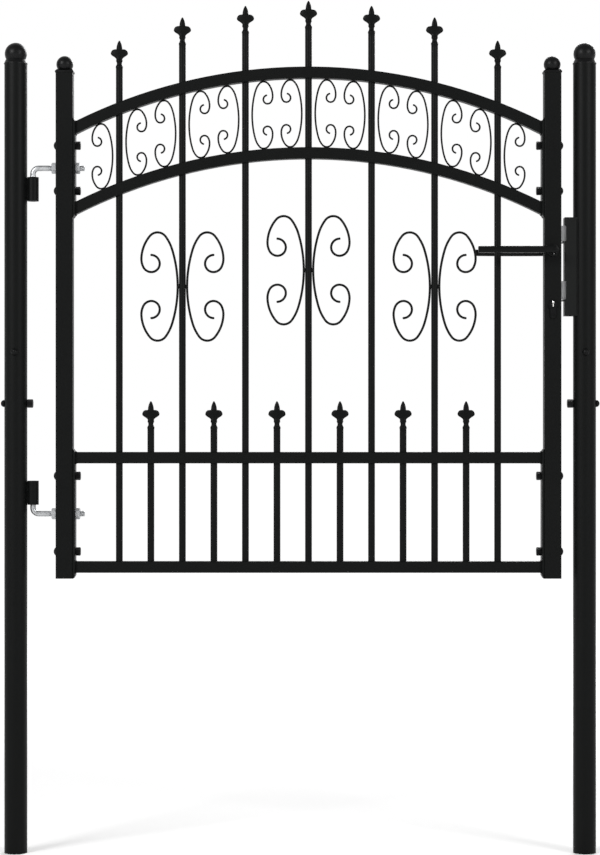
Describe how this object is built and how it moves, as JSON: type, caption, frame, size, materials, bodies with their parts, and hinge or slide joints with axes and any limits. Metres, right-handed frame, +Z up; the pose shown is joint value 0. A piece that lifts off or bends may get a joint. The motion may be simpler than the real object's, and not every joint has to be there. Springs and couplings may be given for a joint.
{
  "type": "wrought iron garden gate with posts",
  "caption": "Single-leaf wrought iron garden gate with an arched, spear-topped leaf, scrollwork, lever lock and two round posts.",
  "frame": {"origin": "centre of the hinge post's foot, in the plane of both post feet", "axes": "+Z up, +X along the gate from the hinge post to the lock post, the front faces -Y"},
  "size_m": [1.051, 0.095, 1.4947],
  "materials": {
    "black_powder_coat": "satin black powder coat",
    "zinc_plated_steel": "bright zinc plating",
    "lock_steel": "plain nickel-plated steel",
    "black_caps": "semi-gloss black moulded plastic",
    "black_fasteners": "black-finished steel",
    "black_handle": "semi-gloss black handle"
  },
  "bodies": {
    "posts": {"hinge_post_lower": "black_powder_coat", "hinge_post_upper": "black_powder_coat", "hinge_post_coupler": "black_powder_coat", "hinge_post_bolts": "black_fasteners", "hinge_post_cap": "black_caps", "lock_post_lower": "black_powder_coat", "lock_post_upper": "black_powder_coat", "lock_post_coupler": "black_powder_coat", "lock_post_bolts": "black_fasteners", "lock_post_cap": "black_caps", "hinge_sleeve_upper": "black_powder_coat", "hinge_sleeve_lower": "black_powder_coat", "lock_keeper": "black_powder_coat"},
    "gate_leaf": {"hinge_stile": "black_powder_coat", "lock_stile": "black_powder_coat", "hinge_stile_cap": "black_caps", "lock_stile_cap": "black_caps", "hinge_side_plates": "black_powder_coat", "lock_side_plates": "black_powder_coat", "bottom_rail": "black_powder_coat", "mid_rail": "black_powder_coat", "arch_rail_upper": "black_powder_coat", "arch_rail_lower": "black_powder_coat", "tall_bar_1": "black_powder_coat", "tall_bar_2": "black_powder_coat", "tall_bar_3": "black_powder_coat", "tall_bar_4": "black_powder_coat", "tall_bar_5": "black_powder_coat", "tall_bar_6": "black_powder_coat", "tall_bar_7": "black_powder_coat", "short_bars": "black_powder_coat", "tall_spearheads": "black_powder_coat", "short_spearheads": "black_powder_coat", "main_scrolls_bar_2": "black_powder_coat", "main_scrolls_bar_4": "black_powder_coat", "main_scrolls_bar_6": "black_powder_coat", "arch_scrolls": "black_powder_coat", "stile_bolts": "black_fasteners", "hinge_rod_upper": "zinc_plated_steel", "hinge_rod_lower": "zinc_plated_steel", "hinge_nuts": "zinc_plated_steel", "lock_case": "lock_steel", "lock_cylinder": "lock_steel", "handle_roses": "black_caps"},
    "lever_handle": {"lever_front": "black_handle", "lever_rear": "black_handle", "handle_spindle": "lock_steel"},
    "latch": {"latch_bolt": "lock_steel"},
    "dead_bolt": {"dead_bolt": "lock_steel"}
  },
  "joints": [
    {"name": "gate_swing", "type": "hinge", "parent": "posts", "child": "gate_leaf", "pos_m": [0.0303, 0, 0.9], "axis": [0, 0, 1], "range_deg": [-90, 90]},
    {"name": "handle_turn", "type": "hinge", "parent": "gate_leaf", "child": "lever_handle", "pos_m": [0.9412, 0, 1.0555], "axis": [0, -1, 0], "range_deg": [0, 45], "stiffness_Nm_per_rad": 1, "springref_deg": -34.38},
    {"name": "latch_slide", "type": "slide", "parent": "gate_leaf", "child": "latch", "axis": [-1, 0, 0], "range_m": [0, 0.012]},
    {"name": "dead_bolt_slide", "type": "slide", "parent": "gate_leaf", "child": "dead_bolt", "axis": [-1, 0, 0], "range_m": [0, 0.016]}
  ],
  "couplings": [
    {"joint": "latch_slide", "follows": "handle_turn", "m_per_rad": 0.01527}
  ]
}
